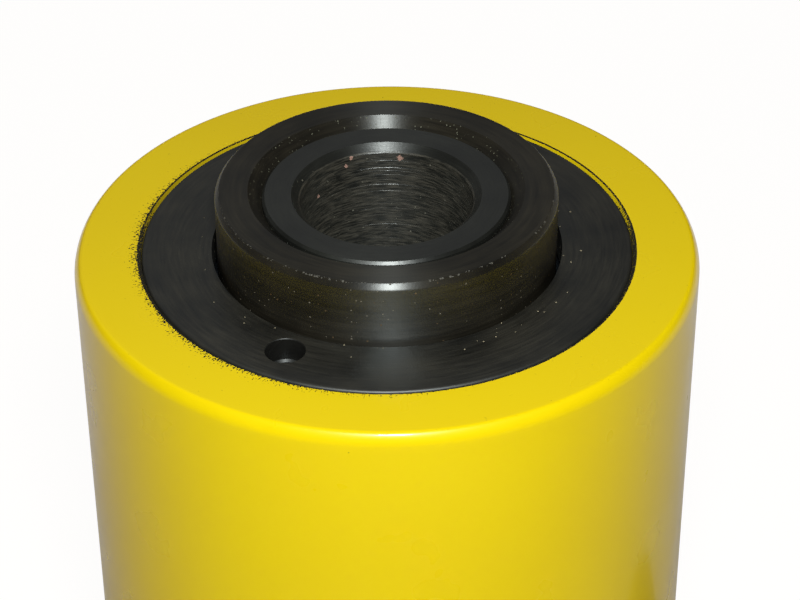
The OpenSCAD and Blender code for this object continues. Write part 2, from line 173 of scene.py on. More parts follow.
def makeFloor(setup):
    half = setup["size"] / 2
    corners = [(-half, -half, 0), (half, -half, 0), (half, half, 0), (-half, half, 0)]
    mesh = bpy.data.meshes.new("floor")
    mesh.from_pydata(corners, [], [(0, 1, 2, 3)])
    floor = bpy.data.objects.new("floor", mesh)
    bpy.context.scene.collection.objects.link(floor)
    board = bpy.data.materials.new("matt white board")
    board.use_nodes = True
    tree = board.node_tree
    tree.nodes.clear()
    rays = addNode(tree, "ShaderNodeLightPath").outputs
    place = addNode(tree, "ShaderNodeTexCoord").outputs["Object"]
    back = addNode(tree, "ShaderNodeSeparateXYZ", {0: place}).outputs["Y"]
    away = addNode(tree, "ShaderNodeVectorMath", {0: place}, operation="LENGTH").outputs["Value"]
    shine = addNode(tree, "ShaderNodeMapRange", {
        0: back, 1: setup["dimFrom"], 2: setup["dimTo"], 3: setup["shineFront"], 4: setup["shineBack"]})
    near = addNode(tree, "ShaderNodeMapRange", {
        0: away, 1: setup["nearTo"], 2: setup["farFrom"], 3: 1.0, 4: setup["farShare"]})
    shine = calc(tree, "MULTIPLY", shine, near)
    toCamera = []
    for level in (setup["white"], setup["glow"]):
        level = addNode(tree, "ShaderNodeMapRange", {
            0: away, 1: setup["plainFrom"], 2: setup["plainTo"], 3: level, 4: 1.0})
        toCamera.append(calc(tree, "MULTIPLY", rays["Is Camera Ray"], level))
    white, glow = toCamera
    level = calc(tree, "MAXIMUM", white, shine)
    share = calc(tree, "MAXIMUM", glow, rays["Is Glossy Ray"])
    paper = addNode(tree, "ShaderNodeBsdfDiffuse", {0: toLinear(setup["board"])})
    light = addNode(tree, "ShaderNodeEmission", {0: plainWhite, 1: level})
    both = addNode(tree, "ShaderNodeMixShader", {0: share, 1: paper, 2: light})
    addNode(tree, "ShaderNodeOutputMaterial", {0: both})
    mesh.materials.append(board)


makeFloor(floorSetup)
print("camera, lamps and floor set")

noiseLow, noiseHigh = 0.3, 0.7  # most of a noise lies between these


# every finish starts from one shader and the piece's own coordinates
def newFinish(name):
    finish = bpy.data.materials.new(name)
    finish.use_nodes = True
    tree = finish.node_tree
    shader = tree.nodes["Principled BSDF"]
    place = addNode(tree, "ShaderNodeTexCoord").outputs["Object"]
    return finish, tree, shader, place


# distance from an axis through centre, the height along it and the direction out from it
def roundAxis(tree, place, axis="Z", centre=(0, 0, 0)):
    local = addNode(tree, "ShaderNodeVectorMath", {0: place, 1: centre}, operation="SUBTRACT")
    flat = {"Z": (1, 1, 0), "X": (0, 1, 1)}[axis]
    across = addNode(tree, "ShaderNodeVectorMath", {0: local, 1: flat}, operation="MULTIPLY")
    radius = addNode(tree, "ShaderNodeVectorMath", {0: across}, operation="LENGTH").outputs["Value"]
    unit = addNode(tree, "ShaderNodeVectorMath", {0: across}, operation="NORMALIZE")
    height = addNode(tree, "ShaderNodeSeparateXYZ", {0: local}).outputs[axis]
    return radius, height, unit


# lathe marks: rings that change with radius on a face and with height on a wall, broken up round the piece;
# a real feed is about 0.15 mm, so they are spaced wider than that to show
def latheMarks(tree, place, spacing, breakUp, axis="Z", centre=(0, 0, 0)):
    radius, height, unit = roundAxis(tree, place, axis, centre)
    step = calc(tree, "ADD", radius, height)
    step = calc(tree, "MULTIPLY", step, 1 / (spacing * mm))
    along = addNode(tree, "ShaderNodeVectorMath", {0: unit, "Scale": breakUp}, operation="SCALE")
    lift = {"Z": (0, 0, 1), "X": (1, 0, 0)}[axis]
    rise = addNode(tree, "ShaderNodeVectorMath", {0: lift, "Scale": step}, operation="SCALE")
    spot = addNode(tree, "ShaderNodeVectorMath", {0: along, 1: rise}, operation="ADD")
    return addNode(tree, "ShaderNodeTexNoise", {
        "Vector": spot, "Scale": 1.0, "Detail": 3.0, "Roughness": 0.6})


# small round flecks: cell is their spacing and size the largest radius in mm, share how many cells hold one
def flecks(tree, place, cell, size, share):
    cells = addNode(tree, "ShaderNodeTexVoronoi", {"Vector": place, "Scale": 1 / (cell * mm)})
    pick = addNode(tree, "ShaderNodeSeparateColor", {0: cells.outputs["Color"]})
    reach = addNode(tree, "ShaderNodeMapRange", {
        0: pick.outputs[0], 1: 0.0, 2: share, 3: size / cell, 4: 0.0})
    return calc(tree, "LESS_THAN", cells.outputs["Distance"], reach)


# 1 between two radii in mm, 0 elsewhere
def inBand(tree, radius, low, high):
    past = calc(tree, "GREATER_THAN", radius, low * mm)
    short = calc(tree, "LESS_THAN", radius, high * mm)
    return calc(tree, "MULTIPLY", past, short)


# gloss enamel, sprayed over turned steel: deep yellow with a soft orange peel and a clear shine, worn black
# round the ring's seat, with painted shade over the seat's bevel; sizes in mm, and each need is how strong
# the grit has to be to rub through
enamelSetup = dict(
    colour="#f2dd03", deeper="#eed503", cloud=38.0, rough=(0.26, 0.34), haze=14.0, coat=0.4, coatRough=0.1,
    gloss=0.35, peel=2.4, peelBump=0.2, peelDepth=0.01, specks=(7.0, 0.16, 0.12),
    # next line: the olive colour after rub, with its least and extra shares, is painted shade on the seat's
    # bevel
    rub="#1c1a0d", bevelShade="#6b5c10", bevelShadeLeast=0.35, bevelShadeMore=0.45, seatEdge=45.4, topBand=0.7,
    wornSide=204, wornSpread=(-0.1, 0.85), wornReach=(0.5, 2.8), gritOut=0.5, gritRound=0.3,
    needFirst=(0.62, 0.5), needLast=0.74, needInside=(0.36, 0.72), insideSpread=(0.0, 0.45),
    seamHalf=0.15, needSeam=0.36)


def sprayedEnamel(setup):
    finish, tree, shader, place = newFinish("gloss enamel, sprayed")
    radius, height, unit = roundAxis(tree, place)
    cloud = addNode(tree, "ShaderNodeTexNoise", {
        "Vector": place, "Scale": 1 / (setup["cloud"] * mm), "Detail": 2.0})
    colour = addNode(tree, "ShaderNodeMix", {
        0: cloud, 6: toLinear(setup["colour"]), 7: toLinear(setup["deeper"])}, data_type="RGBA")

    # mm outside the seat's edge, only near the top face, and how near the side that was knocked about
    out = calc(tree, "SUBTRACT", radius, setup["seatEdge"] * mm)
    out = calc(tree, "MULTIPLY", out, 1 / mm)
    onTop = calc(tree, "GREATER_THAN", height, topZ - setup["topBand"] * mm)
    angle = math.radians(setup["wornSide"])
    facing = addNode(tree, "ShaderNodeVectorMath", {
        0: unit, 1: (math.cos(angle), math.sin(angle), 0)}, operation="DOT_PRODUCT").outputs["Value"]
    low, high = setup["wornSpread"]
    worn = addNode(tree, "ShaderNodeMapRange", {0: facing, 1: low, 2: high})

    # specks drawn out away from the ring, thinning with distance
    grit = latheMarks(tree, place, setup["gritOut"], setup["seatEdge"] / setup["gritRound"])
    low, high = setup["wornReach"]
    reach = addNode(tree, "ShaderNodeMapRange", {0: worn, 3: low, 4: high})
    fade = calc(tree, "DIVIDE", out, reach)
    low, high = setup["needFirst"]
    first = addNode(tree, "ShaderNodeMapRange", {0: worn, 3: low, 4: high})
    need = addNode(tree, "ShaderNodeMapRange", {0: fade, 1: 0.0, 2: 1.0, 3: first, 4: setup["needLast"]})
    outer = calc(tree, "GREATER_THAN", grit, need)
    beyond = calc(tree, "GREATER_THAN", out, 0.0)
    outer = calc(tree, "MULTIPLY", outer, beyond)

    # the seat's own bevel, black in front and cleaner at the back, with a dark seam along its edge
    ahead = addNode(tree, "ShaderNodeSeparateXYZ", {0: unit}).outputs["Y"]
    start, stop = setup["insideSpread"]
    low, high = setup["needInside"]
    need = addNode(tree, "ShaderNodeMapRange", {0: ahead, 1: start, 2: stop, 3: low, 4: high})
    inner = calc(tree, "GREATER_THAN", grit, need)
    within = calc(tree, "LESS_THAN", out, 0.0)
    inner = calc(tree, "MULTIPLY", inner, within)
    near = calc(tree, "ABSOLUTE", out)
    near = calc(tree, "LESS_THAN", near, setup["seamHalf"])
    seam = calc(tree, "GREATER_THAN", grit, setup["needSeam"])
    seam = calc(tree, "MULTIPLY", seam, near)
    rub = calc(tree, "MAXIMUM", outer, inner)
    rub = calc(tree, "MAXIMUM", rub, seam)
    rub = calc(tree, "MULTIPLY", rub, onTop)
    # painted shade: a dark olive over the whole seat bevel, so that, facing the lamp, it looks no brighter
    # than the top face; more of it towards the knocked side
    shadeOnBevel = calc(tree, "MULTIPLY", within, onTop)
    shadeAmount = calc(tree, "MULTIPLY_ADD", worn, setup["bevelShadeMore"], setup["bevelShadeLeast"])
    shadeOnBevel = calc(tree, "MULTIPLY", shadeOnBevel, shadeAmount)
    specks = flecks(tree, place, *setup["specks"])
    for layer, shade in ((shadeOnBevel, "bevelShade"), (rub, "rub"), (specks, "rub")):
        colour = addNode(tree, "ShaderNodeMix", {
            0: layer, 6: colour.outputs[2], 7: toLinear(setup[shade])}, data_type="RGBA")
    tree.links.new(colour.outputs[2], shader.inputs["Base Color"])

    haze = addNode(tree, "ShaderNodeTexNoise", {
        "Vector": place, "Scale": 1 / (setup["haze"] * mm), "Detail": 3.0})
    low, high = setup["rough"]
    rough = addNode(tree, "ShaderNodeMapRange", {0: haze, 1: noiseLow, 2: noiseHigh, 3: low, 4: high})
    rough = calc(tree, "MAXIMUM", rough, rub)
    tree.links.new(rough.outputs[0], shader.inputs["Roughness"])
    shader.inputs["Coat Weight"].default_value = setup["coat"]
    shader.inputs["Coat Roughness"].default_value = setup["coatRough"]
    shader.inputs["Specular IOR Level"].default_value = setup["gloss"]
    peel = addNode(tree, "ShaderNodeTexNoise", {
        "Vector": place, "Scale": 1 / (setup["peel"] * mm), "Detail": 1.0})
    bump = addNode(tree, "ShaderNodeBump", {
        "Height": peel, "Strength": setup["peelBump"], "Distance": setup["peelDepth"] * mm})
    tree.links.new(bump.outputs[0], shader.inputs["Normal"])
    return finish


# black oxide on turned steel: near black with a thin oil film, lathe marks that catch the light, dust and
# brown dirt; dull and dirt lie in bands of radii in mm, bore streaks inside that radius, chips are swarf
oxideSetup = dict(
    ring=dict(  # faced: an even satin
        colour="#10100e", mark="#2d2c26", spacing=0.5, breakUp=5.0, rough=(0.38, 0.44), grain=0.15, ior=1.9,
        lift=0.03, bore=0, dull=[(44.1, 45.0, 0.5)], chips=[],
        dirt=[dict(band=(31.9, 36.0), cell=1.1, size=0.2, share=0.45, colour="#9a937a"),
              dict(band=(0, 60), cell=4.0, size=0.2, share=0.2, colour="#8a8468")]),
    plunger=dict(  # turned and polished by the wiper: a long stripe of light down the wall
        colour="#161512", mark="#2b2922", spacing=0.65, breakUp=2.5, rough=(0.3, 0.34), grain=0.85, ior=1.74,
        lift=0.015, bore=0, chips=[],
        dull=[(22.4, 25.0, 0.345), (25.0, 30.05, 0.4), (30.05, 30.97, 0.37)],
        dirt=[dict(band=(22.4, 25.0), cell=0.6, size=0.15, share=0.7, colour="#5f6254"),
              dict(band=(30.5, 31.2), cell=1.2, size=0.2, share=0.3, colour="#4d3914"),
              dict(band=(30.98, 31.2), cell=0.9, size=0.16, share=0.35, colour="#6a665a"),
              dict(band=(30.08, 30.36), cell=0.45, size=0.25, share=0.9, colour="#4f4f4a"),
              dict(band=(0, 60), cell=4.5, size=0.2, share=0.2, colour="#8a846e")]),
    saddle=dict(  # faced smooth, bored rough: streaks of pale metal down the bore
        colour="#151614", mark="#262825", spacing=0.3, breakUp=4.0, rough=(0.35, 0.41), grain=0.5, ior=1.95,
        lift=0.025, bore=15.98, dull=[(15.9, 17.2, 0.385)],
        dirt=[dict(band=(15.5, 17.2), cell=0.9, size=0.16, share=0.25, colour="#66665a")],
        chips=[dict(place=(2.6, 15.5, 165.3), reach=0.55), dict(place=(-6.45, 14.3, 166.1), reach=0.33),
               dict(place=(-7.4, 13.85, 164.6), reach=0.36), dict(place=(-12.5, 9.4, 160.9), reach=0.36)]),
    hole=dict(  # drilled: dull and darker
        colour="#10100f", mark="#1b1b19", spacing=0.5, breakUp=5.0, rough=(0.42, 0.5), grain=0.0, ior=1.5,
        lift=0.02, bore=0, dull=[], dirt=[], chips=[]),
)
# what they share: film and speckle are in mm, the grain is turned so that light spreads across the marks
oxideFilm = dict(film=11.0, tone=(0.12, 0.42), speckle=0.5, speckleLift=0.6, cutting=0.16, bump=0.7,
                 tint="#eff8fb", grainTurn=0.25, streak="#4b4a43", streakSpacing=0.32, streakBreakUp=6.0,
                 streakSpread=(0.4, 0.68), chip="#a5877c")


def blackOxide(name, setup, shared):
    finish, tree, shader, place = newFinish("black oxide steel, turned, " + name)
    radius = roundAxis(tree, place)[0]
    marks = latheMarks(tree, place, setup["spacing"], setup["breakUp"])
    film = addNode(tree, "ShaderNodeTexNoise", {
        "Vector": place, "Scale": 1 / (shared["film"] * mm), "Detail": 3.0})
    speckle = addNode(tree, "ShaderNodeTexNoise", {
        "Vector": place, "Scale": 1 / (shared["speckle"] * mm), "Detail": 2.0})
    tone = calc(tree, "MULTIPLY", marks, film)
    low, high = shared["tone"]
    tone = addNode(tree, "ShaderNodeMapRange", {0: tone, 1: low, 2: high})
    colour = addNode(tree, "ShaderNodeMix", {
        0: tone, 6: toLinear(setup["colour"]), 7: toLinear(setup["mark"])}, data_type="RGBA")
    lift = marks
    if setup["bore"]:
        inside = calc(tree, "LESS_THAN", radius, setup["bore"] * mm)
        streaks = latheMarks(tree, place, shared["streakSpacing"], shared["streakBreakUp"])
        low, high = shared["streakSpread"]
        streaks = addNode(tree, "ShaderNodeMapRange", {0: streaks, 1: low, 2: high})
        streaks = calc(tree, "MULTIPLY", streaks, inside)
        colour = addNode(tree, "ShaderNodeMix", {
            0: streaks, 6: colour.outputs[2], 7: toLinear(shared["streak"])}, data_type="RGBA")
        lift = calc(tree, "ADD", streaks, marks)
    low, high = setup["rough"]
    rough = addNode(tree, "ShaderNodeMapRange", {0: film, 1: noiseLow, 2: noiseHigh, 3: low, 4: high})
    cutting = calc(tree, "MULTIPLY_ADD", marks, shared["cutting"], -shared["cutting"] / 2)
    rough = calc(tree, "ADD", rough, cutting)
    for low, high, least in setup["dull"]:
        band = inBand(tree, radius, low, high)
        band = calc(tree, "MULTIPLY", band, least)
        rough = calc(tree, "MAXIMUM", rough, band)
    for dirt in setup["dirt"]:
        band = inBand(tree, radius, *dirt["band"])
        spots = flecks(tree, place, dirt["cell"], dirt["size"], dirt["share"])
        spots = calc(tree, "MULTIPLY", spots, band)
        colour = addNode(tree, "ShaderNodeMix", {
            0: spots, 6: colour.outputs[2], 7: toLinear(dirt["colour"])}, data_type="RGBA")
        rough = calc(tree, "MAXIMUM", rough, spots)
    for chip in setup["chips"]:
        spot = tuple(value * mm for value in chip["place"])
        away = addNode(tree, "ShaderNodeVectorMath", {0: place, 1: spot}, operation="DISTANCE")
        reach = calc(tree, "MULTIPLY", speckle, 2 * chip["reach"] * mm)
        bit = calc(tree, "LESS_THAN", away.outputs["Value"], reach)
        colour = addNode(tree, "ShaderNodeMix", {
            0: bit, 6: colour.outputs[2], 7: toLinear(shared["chip"])}, data_type="RGBA")
    tree.links.new(colour.outputs[2], shader.inputs["Base Color"])
    tree.links.new(rough.outputs[0], shader.inputs["Roughness"])
    shader.inputs["IOR"].default_value = setup["ior"]
    shader.inputs["Specular Tint"].default_value = toLinear(shared["tint"])
    shader.inputs["Anisotropic"].default_value = setup["grain"]
    shader.inputs["Anisotropic Rotation"].default_value = shared["grainTurn"]
    around = addNode(tree, "ShaderNodeTangent", direction_type="RADIAL", axis="Z")
    tree.links.new(around.outputs[0], shader.inputs["Tangent"])
    lift = calc(tree, "MULTIPLY_ADD", speckle, shared["speckleLift"], lift)
    bump = addNode(tree, "ShaderNodeBump", {
        "Height": lift, "Strength": shared["bump"], "Distance": setup["lift"] * mm})
    tree.links.new(bump.outputs[0], shader.inputs["Normal"])
    return finish


# the rest of a plain finish: fine marks and broad clouds give its tone, clouds its sheen, marks its relief
def dress(tree, shader, setup, fine, broad, bump, tones=(0.12, 0.4)):
    tone = calc(tree, "MULTIPLY", fine, broad)
    tone = addNode(tree, "ShaderNodeMapRange", {0: tone, 1: tones[0], 2: tones[1]})
    colour = addNode(tree, "ShaderNodeMix", {
        0: tone, 6: toLinear(setup["low"]), 7: toLinear(setup["high"])}, data_type="RGBA")
    tree.links.new(colour.outputs[2], shader.inputs["Base Color"])
    low, high = setup["rough"]
    rough = addNode(tree, "ShaderNodeMapRange", {0: broad, 1: noiseLow, 2: noiseHigh, 3: low, 4: high})
    tree.links.new(rough.outputs[0], shader.inputs["Roughness"])
    relief = addNode(tree, "ShaderNodeBump", {
        "Height": fine, "Strength": bump, "Distance": setup["lift"] * mm})
    tree.links.new(relief.outputs[0], shader.inputs["Normal"])


# plain metals, by the record's slot: what each is, how its surface was made and how fine its marks are in mm
metalSetup = {
    "plated_tube": dict(  # near mirror with a faint ground haze
        name="hard plated steel, ground", low="#b9bbbc", high="#d3d5d6", rough=(0.14, 0.26),
        spacing=0.25, breakUp=3.0, axis="Z", lift=0.008),
    "zinc_plated_steel": dict(  # cool silver, turned rings in its sheen
        name="bright zinc on machined steel", low="#a9abaf", high="#c9cbd0", rough=(0.24, 0.38),
        spacing=0.4, breakUp=4.0, axis="X", lift=0.008),
    "spring_steel": dict(  # dull grey with an oily sheen
        name="spring steel, shot peened and oiled", low="#54555a", high="#77797d", rough=(0.36, 0.52),
        spacing=0.9, breakUp=30.0, axis="Z", lift=0.008),
    "copper_washer": dict(  # warm and pinkish, dulled in patches
        name="copper, stamped", low="#a8643e", high="#cd8a63", rough=(0.28, 0.46),
        spacing=0.5, breakUp=9.0, axis="X", lift=0.008),
}


def turnedMetal(setup, stain=5.0, bump=0.3):
    finish, tree, shader, place = newFinish(setup["name"])
    centre = (0, 0, portZ) if setup["axis"] == "X" else (0, 0, 0)
    marks = latheMarks(tree, place, setup["spacing"], setup["breakUp"], setup["axis"], centre)
    clouds = addNode(tree, "ShaderNodeTexNoise", {"Vector": place, "Scale": 1 / (stain * mm), "Detail": 4.0})
    shader.inputs["Metallic"].default_value = 1.0
    dress(tree, shader, setup, marks, clouds, bump)
    return finish


# rubbers and plastics, by the record's slot: colour, sheen and the grain of the mould or cutter in mm
softSetup = {
    "polyurethane": dict(  # dark slate, slick
        name="polyurethane, moulded", low="#1b2126", high="#283038", rough=(0.34, 0.46), grain=0.8,
        lift=0.01),
    "nitrile": dict(  # matt black
        name="nitrile rubber, moulded", low="#191919", high="#262625", rough=(0.5, 0.64), grain=0.6,
        lift=0.012),
    "guide_strip": dict(  # tan, flecked with cloth
        name="fabric filled phenolic, cut", low="#9a7747", high="#b48d58", rough=(0.5, 0.66), grain=0.7,
        lift=0.02),
    "backup_nylon": dict(  # cream and waxy
        name="nylon, turned", low="#d5cfba", high="#e4dfcd", rough=(0.4, 0.52), grain=0.9, lift=0.01),
    "cap_plastic": dict(  # satin black with a fine moulded grain
        name="low density polythene, moulded", low="#191a1b", high="#232425", rough=(0.4, 0.54), grain=0.45,
        lift=0.02),
}


def mouldedSoft(setup, cloud=6.0, bump=0.5):
    finish, tree, shader, place = newFinish(setup["name"])
    grain = addNode(tree, "ShaderNodeTexNoise", {
        "Vector": place, "Scale": 1 / (setup["grain"] * mm), "Detail": 3.0, "Roughness": 0.6})
    clouds = addNode(tree, "ShaderNodeTexNoise", {"Vector": place, "Scale": 1 / (cloud * mm), "Detail": 2.0})
    dress(tree, shader, setup, grain, clouds, bump)
    return finish


finishes = {"yellow_enamel": sprayedEnamel(enamelSetup)}
finishes.update({slot: turnedMetal(setup) for slot, setup in metalSetup.items()})
finishes.update({slot: mouldedSoft(setup) for slot, setup in softSetup.items()})
oxides = {name: blackOxide(name, setup, oxideFilm) for name, setup in oxideSetup.items()}
oxideOf = {"gland_ring": "ring", "plunger": "plunger", "hollow_saddle": "saddle"}
for nodeName, node in nodes.items():
    slotName = node.data.materials[0].name.split(".")[0]
    node.data.materials[0] = finishes.get(slotName) or oxides[oxideOf[nodeName]]
print("finishes:", len(finishes) + len(oxides))

# turns Z into the port's axis
alongPort = Matrix.Translation((0, 0, portZ)) @ Matrix.Rotation(math.radians(90), 4, "Y")


# puts a mesh in the scene, smooth but with its real edges kept sharp
def asPiece(name, mesh, finish, edge=32):
    if finish:
        mesh.materials.clear()
        mesh.materials.append(finish)
    mesh.polygons.foreach_set("use_smooth", [True] * len(mesh.polygons))
    mesh.set_sharp_from_angle(angle=math.radians(edge))
    piece = bpy.data.objects.new(name, mesh)
    bpy.context.scene.collection.objects.link(piece)
    return piece


# spins an outline of (radius, height) in mm about Z: a ring, or a plug where the outline starts on the axis
def turned(outline, sides):
    shape = bmesh.new()
    rings = []
    for radius, height in outline:
        steps = [2 * math.pi * i / sides for i in range(sides if radius > 0 else 1)]
        spots = [(radius * math.cos(a) * mm, radius * math.sin(a) * mm, height * mm) for a in steps]
        rings.append([shape.verts.new(spot) for spot in spots])
    following = rings[1:] + ([] if outline[0][0] == 0 else rings[:1])
    for lower, upper in zip(rings, following):
        for i in range(sides):
            j = (i + 1) % sides
            corners = [ring[k % len(ring)] for ring, k in ((lower, i), (lower, j), (upper, j), (upper, i))]
            shape.faces.new(dict.fromkeys(corners))
    bmesh.ops.recalc_face_normals(shape, faces=shape.faces)
    mesh = bpy.data.meshes.new("turned")
    shape.to_mesh(mesh)
    shape.free()
    return mesh


# part of a circle for an outline, angles in degrees
def arc(across, up, radius, start, stop, step):
    turns = [math.radians(a) for a in range(start, stop, step)]
    return [(across + radius * math.cos(a), up + radius * math.sin(a)) for a in turns]


# takes cutters out of a blank, one after the other, and leaves a plain piece
def cutOut(name, blank, cutters, finish, edge=32):
    for cutter in cutters:
        step = blank.modifiers.new("cut", "BOOLEAN")
        step.operation = "DIFFERENCE"
        step.solver = "MANIFOLD"
        step.object = cutter
        step.material_mode = "TRANSFER"
    plain = bpy.data.meshes.new_from_object(blank.evaluated_get(bpy.context.evaluated_depsgraph_get()))
    for used in [blank] + cutters:
        bpy.data.objects.remove(used)
    return asPiece(name, plain, finish, edge)


# starts a node tree with named inputs
def newTree(name, inputs):
    tree = bpy.data.node_groups.new(name, "GeometryNodeTree")
    for label, kind in inputs.items():
        tree.interface.new_socket(label, in_out="INPUT", socket_type="NodeSocket" + kind)
    tree.interface.new_socket("Geometry", in_out="OUTPUT", socket_type="NodeSocketGeometry")
    return tree, addNode(tree, "NodeGroupInput").outputs


# runs a node tree on an empty mesh and hands back what it made
def grow(tree, values):
    holder = bpy.data.objects.new("grown", bpy.data.meshes.new("grown"))
    bpy.context.scene.collection.objects.link(holder)
    step = holder.modifiers.new("grow", "NODES")
    step.node_group = tree
    for item in tree.interface.items_tree:
        if item.in_out == "INPUT":
            step[item.identifier] = values[item.name]
    mesh = bpy.data.meshes.new_from_object(holder.evaluated_get(bpy.context.evaluated_depsgraph_get()))
    bpy.data.objects.remove(holder)
    return mesh


# a wire wound on a helix about Z: round for springs, four sided to cut a V thread
def makeCoilTree():
    tree, given = newTree("wound wire", {
        "Radius": "Float", "Wire Across": "Float", "Wire Along": "Float", "Rise": "Float", "Turns": "Float",
        "Closed Turns": "Float", "Closed Pitch": "Float", "Steps": "Int", "Sides": "Int", "Low": "Float",
        "High": "Float", "Finish": "Material"})
    last = calc(tree, "MULTIPLY", given["Turns"], given["Steps"])
    last = calc(tree, "CEIL", last)
    count = calc(tree, "ADD", last, 1.0)
    line = addNode(tree, "GeometryNodeMeshLine", {"Count": count})
    index = addNode(tree, "GeometryNodeInputIndex")
    turn = calc(tree, "DIVIDE", index, last)
    turn = calc(tree, "MULTIPLY", turn, given["Turns"])

    # height: tight turns at both ends, an even pitch between them
    closed = given["Closed Turns"]
    ends = calc(tree, "MULTIPLY", closed, 2.0)
    free = calc(tree, "SUBTRACT", given["Turns"], ends)
    endRise = calc(tree, "MULTIPLY", ends, given["Closed Pitch"])
    freeRise = calc(tree, "SUBTRACT", given["Rise"], endRise)
    pitch = calc(tree, "DIVIDE", freeRise, free)
    first = calc(tree, "MINIMUM", turn, closed)
    middle = calc(tree, "SUBTRACT", turn, closed)
    tail = calc(tree, "SUBTRACT", middle, free)
    tail = calc(tree, "MAXIMUM", tail, 0.0)
    middle = addNode(tree, "ShaderNodeClamp", {0: middle, 1: 0.0, 2: free})
    tight = calc(tree, "ADD", first, tail)
    tight = calc(tree, "MULTIPLY", tight, given["Closed Pitch"])
    height = calc(tree, "MULTIPLY_ADD", middle, pitch, tight)

    angle = calc(tree, "MULTIPLY", turn, 2 * math.pi)
    across = calc(tree, "COSINE", angle)
    across = calc(tree, "MULTIPLY", across, given["Radius"])
    deep = calc(tree, "SINE", angle)
    deep = calc(tree, "MULTIPLY", deep, given["Radius"])
    spot = addNode(tree, "ShaderNodeCombineXYZ", {0: across, 1: deep, 2: height})
    helix = addNode(tree, "GeometryNodeSetPosition", {"Geometry": line, "Position": spot})
    helix = addNode(tree, "GeometryNodeMeshToCurve", {"Mesh": helix})
    helix = addNode(tree, "GeometryNodeSetCurveNormal", {"Curve": helix}, mode="Z_UP")
    wire = addNode(tree, "GeometryNodeCurvePrimitiveCircle", {"Resolution": given["Sides"], "Radius": 1.0})
    size = addNode(tree, "ShaderNodeCombineXYZ", {0: given["Wire Across"], 1: given["Wire Along"], 2: 1.0})
    wire = addNode(tree, "GeometryNodeTransform", {"Geometry": wire, "Scale": size})
    wound = addNode(tree, "GeometryNodeCurveToMesh", {
        "Curve": helix, "Profile Curve": wire, "Fill Caps": True})

    # ground ends
    here = addNode(tree, "ShaderNodeSeparateXYZ", {0: addNode(tree, "GeometryNodeInputPosition")})
    ground = addNode(tree, "ShaderNodeClamp", {0: here.outputs[2], 1: given["Low"], 2: given["High"]})
    flat = addNode(tree, "ShaderNodeCombineXYZ", {0: here.outputs[0], 1: here.outputs[1], 2: ground})
    wound = addNode(tree, "GeometryNodeSetPosition", {"Geometry": wound, "Position": flat})
    wound = addNode(tree, "GeometryNodeRealizeInstances", {"Geometry": wound})
    wound = addNode(tree, "GeometryNodeSetMaterial", {"Geometry": wound, "Material": given["Finish"]})
    addNode(tree, "NodeGroupOutput", {0: wound})
    return tree


coilTree = makeCoilTree()


# V thread cutter from low to high along Z: crest is the radius it starts from, depth how far it cuts, in mm;
# flank is half the V's width as a share of the pitch
def threadCutter(crest, depth, pitch, low, high, finish, place=(0, 0), steps=64, flank=0.46):
    mesh = grow(coilTree, {
        "Radius": crest * mm, "Wire Across": depth * mm, "Wire Along": flank * pitch * mm,
        "Rise": (high - low) * mm, "Turns": (high - low) / pitch, "Closed Turns": 0.0, "Closed Pitch": 0.0,
        "Steps": steps, "Sides": 4, "Low": -1.0, "High": 1.0, "Finish": finish})  # far off: no ground ends
    mesh.transform(Matrix.Translation((place[0] * mm, place[1] * mm, low * mm)))
    return asPiece("thread_cutter", mesh, finish)


# coil springs as wound, sizes in mm: closed ends, ground down to a share of the wire past its centre
springs = {
    "return_spring": dict(meanRadius=37.5, wire=6.0, turns=4.0, closed=0.8, closedPitch=1.06, ground=0.2,
                          steps=64, sides=20, axis=2, joint="plunger_stroke", travel=50.0),
    "coupler_spring": dict(meanRadius=4.5, wire=1.2, turns=6.0, closed=0.8, closedPitch=1.06, ground=0.2,
                           steps=36, sides=12, axis=0, joint="valve_lift", travel=2.5),
}


def makeSpring(nodeName, setup):
    axis = setup["axis"]
    low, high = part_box(nodeName)
    bottom, length = low[axis], high[axis] - low[axis]
    wire = setup["wire"] * mm
    lift = setup["ground"] * wire
    mesh = grow(coilTree, {
        "Radius": setup["meanRadius"] * mm, "Wire Across": wire / 2, "Wire Along": wire / 2,
        "Rise": length - 2 * lift, "Turns": setup["turns"], "Closed Turns": setup["closed"],
        "Closed Pitch": setup["closedPitch"] * wire, "Steps": setup["steps"], "Sides": setup["sides"],
        "Low": -lift, "High": length - lift, "Finish": finishes["spring_steel"]})
    mesh.transform(Matrix.Translation((0, 0, bottom + lift)))
    if axis == 0:
        mesh.transform(alongPort)
    spring = asPiece(nodeName + "_coil", mesh, finishes["spring_steel"], edge=60)
    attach(spring, "cylinder")
    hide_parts(nodeName)
    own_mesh(spring)


for springName, springSetup in springs.items():
    makeSpring(springName, springSetup)
print("springs wound")

# hollow saddle: turned ring, its bore roughly bored with uneven tool marks and a few deeper scores;
# sizes in mm, scores as depth below the face and how deep they cut
saddleSize = dict(bore=15.7, outside=22.45, bevel=1.5, edge=0.45, sides=192, seed=5, feed=0.36,
                  uneven=(0.7, 1.3), ridge=0.02, ridgeHalf=0.3, scoreHalf=0.08, scoreRoom=0.25,
                  scores={3.05: 0.03, 4.65: 0.045, 5.3: 0.03, 6.15: 0.025, 8.3: 0.04, 9.75: 0.03,
                          13.6: 0.025, 17.2: 0.03})


